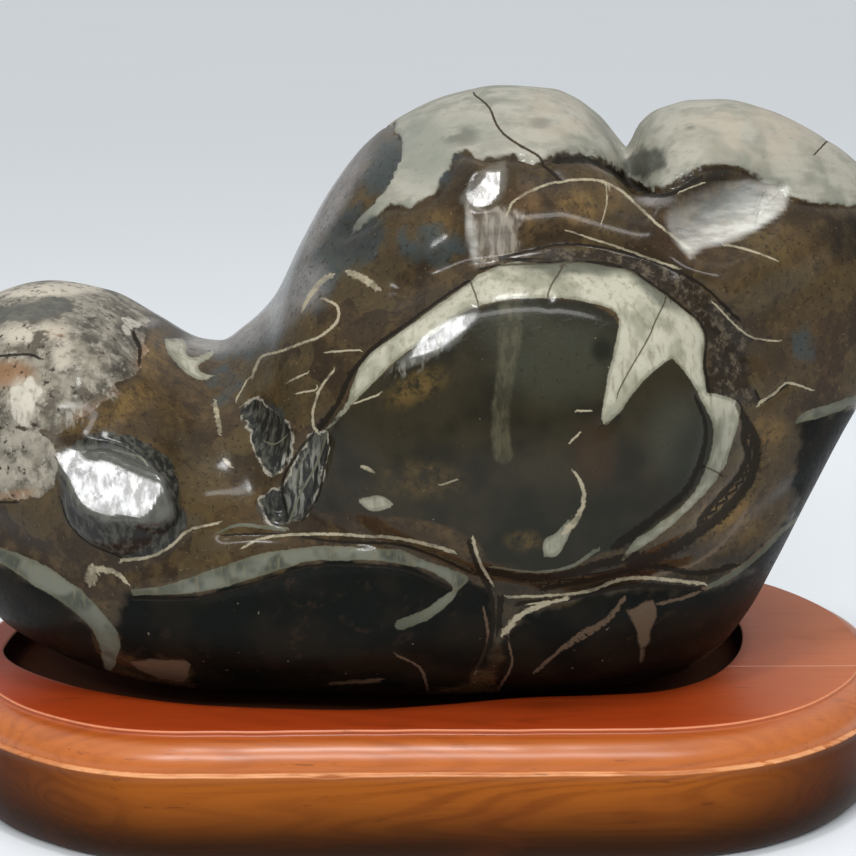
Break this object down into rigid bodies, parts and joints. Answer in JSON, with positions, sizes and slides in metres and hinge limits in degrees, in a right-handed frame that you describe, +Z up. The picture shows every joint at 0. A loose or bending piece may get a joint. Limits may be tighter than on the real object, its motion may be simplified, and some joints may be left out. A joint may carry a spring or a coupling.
{
  "type": "nautilus fossil",
  "caption": "Polished lumpy nautiloid fossil stone with cut shell chambers, standing in the recess of an oval wooden stand with a moulded edge.",
  "frame": {"origin": "middle of the stand's underside, on the surface it stands on", "axes": "+X along the stand to the taller domes, +Y from the shown face to the back, +Z up"},
  "size_m": [0.2775, 0.1528, 0.1959],
  "materials": {
    "polished_stone": "polished, brown matrix with dark chambers and cream calcite bands",
    "varnished_wood": "red-brown stain under satin varnish"
  },
  "bodies": {
    "root": {"fossil": "polished_stone", "stand": "varnished_wood"}
  },
  "joints": []
}
